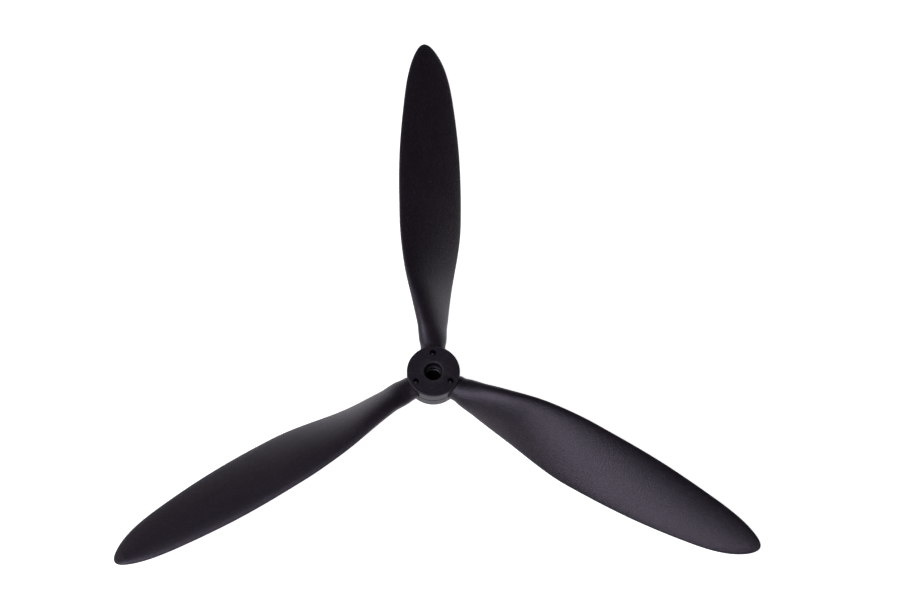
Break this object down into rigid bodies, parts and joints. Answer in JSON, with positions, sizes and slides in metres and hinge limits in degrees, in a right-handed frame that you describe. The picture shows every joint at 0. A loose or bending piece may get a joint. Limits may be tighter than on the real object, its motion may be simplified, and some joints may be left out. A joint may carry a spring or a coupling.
{
  "type": "propeller",
  "caption": "Tractor propeller for a model aircraft: twisted nylon blades clamped by their roots in a round two-piece hub that spins about the motor's shaft.",
  "frame": {"origin": "on the shaft axis, in the plane of the hub's rear face, which seats on the motor", "axes": "+Z forwards along the shaft axis, towards the direction of flight; +Y along blade_1; X completes a right-handed frame"},
  "size_m": [0.2424, 0.2122, 0.0135],
  "materials": {
    "hub_nylon": "black glass-filled nylon, fine matt grain",
    "blade_nylon": "black glass-filled nylon, satin, with a fine speckle of fibres at the surface",
    "bush_aluminium": "turned, satin",
    "fastener_steel": "blackened steel, satin"
  },
  "bodies": {
    "bush": {"shaft_bush": "bush_aluminium"},
    "propeller": {"hub_front_half": "hub_nylon", "hub_rear_half": "hub_nylon", "blade_1": "blade_nylon", "blade_2": "blade_nylon", "blade_3": "blade_nylon", "clamp_screw_1": "fastener_steel", "clamp_screw_2": "fastener_steel", "clamp_screw_3": "fastener_steel", "clamp_nut_1": "fastener_steel", "clamp_nut_2": "fastener_steel", "clamp_nut_3": "fastener_steel"}
  },
  "joints": [
    {"name": "propeller_spin", "type": "hinge", "parent": "bush", "child": "propeller", "pos_m": [0, 0, 0.005], "axis": [0, 0, 1], "continuous": true}
  ]
}
